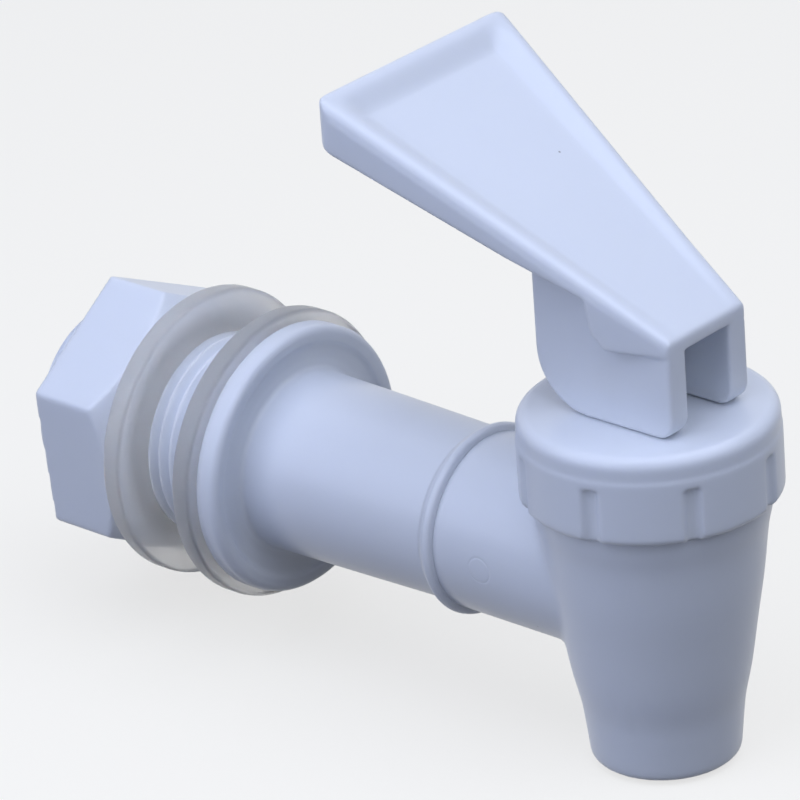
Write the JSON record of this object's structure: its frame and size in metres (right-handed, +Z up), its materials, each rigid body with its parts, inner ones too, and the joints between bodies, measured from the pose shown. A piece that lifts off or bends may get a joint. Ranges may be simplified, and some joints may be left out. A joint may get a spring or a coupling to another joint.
{
  "type": "water dispenser spigot",
  "caption": "Plastic push-lever dispenser tap with threaded shank, flange, clamping nut, silicone washers, screwed cap and swivelling fork lever over a tapered outlet.",
  "frame": {"origin": "centre of the front washer's rear face, where the tap seats on the vessel's wall, on the shank's axis", "axes": "+X along the arm from the wall towards the outlet, +Z up along the stem, +Y to the left seen from the outlet side"},
  "size_m": [0.108, 0.0376, 0.0838],
  "materials": {
    "white_plastic": "satin",
    "silicone": "matte",
    "spring_steel": "satin"
  },
  "bodies": {
    "tap": {"inlet_shank": "white_plastic", "spout_body": "white_plastic", "bonnet_cap": "white_plastic", "washer_front": "silicone"},
    "valve": {"seat_cup": "silicone", "spring": "spring_steel"},
    "stem": {"stem": "white_plastic"},
    "lever": {"lever": "white_plastic"},
    "rear_washer": {"washer_rear": "silicone"},
    "nut": {"hex_nut": "white_plastic"}
  },
  "joints": [
    {"name": "stem_lift", "type": "slide", "parent": "tap", "child": "valve", "axis": [0, 0, 1], "range_m": [0, 0.00246], "deforming": ["spring", "seat_cup"]},
    {"name": "lever_swivel", "type": "hinge", "parent": "valve", "child": "stem", "pos_m": [0.06285, 0, 0], "axis": [0, 0, 1], "continuous": true},
    {"name": "lever_tilt", "type": "hinge", "parent": "stem", "child": "lever", "pos_m": [0.06285, 0, 0.0283], "axis": [0, -1, 0], "range_deg": [0, 38], "stiffness_Nm_per_rad": 0.15, "springref_deg": -14.32},
    {"name": "nut_travel", "type": "slide", "parent": "tap", "child": "rear_washer", "axis": [1, 0, 0], "range_m": [-0.0047, 0.0088]},
    {"name": "nut_turn", "type": "hinge", "parent": "rear_washer", "child": "nut", "pos_m": [-0.018, 0, 0], "axis": [1, 0, 0], "range_deg": [-930, 1745]}
  ],
  "couplings": [
    {"joint": "stem_lift", "follows": "lever_tilt", "m_per_rad": 0.0037},
    {"joint": "nut_travel", "follows": "nut_turn", "m_per_rad": 0.00028871}
  ]
}
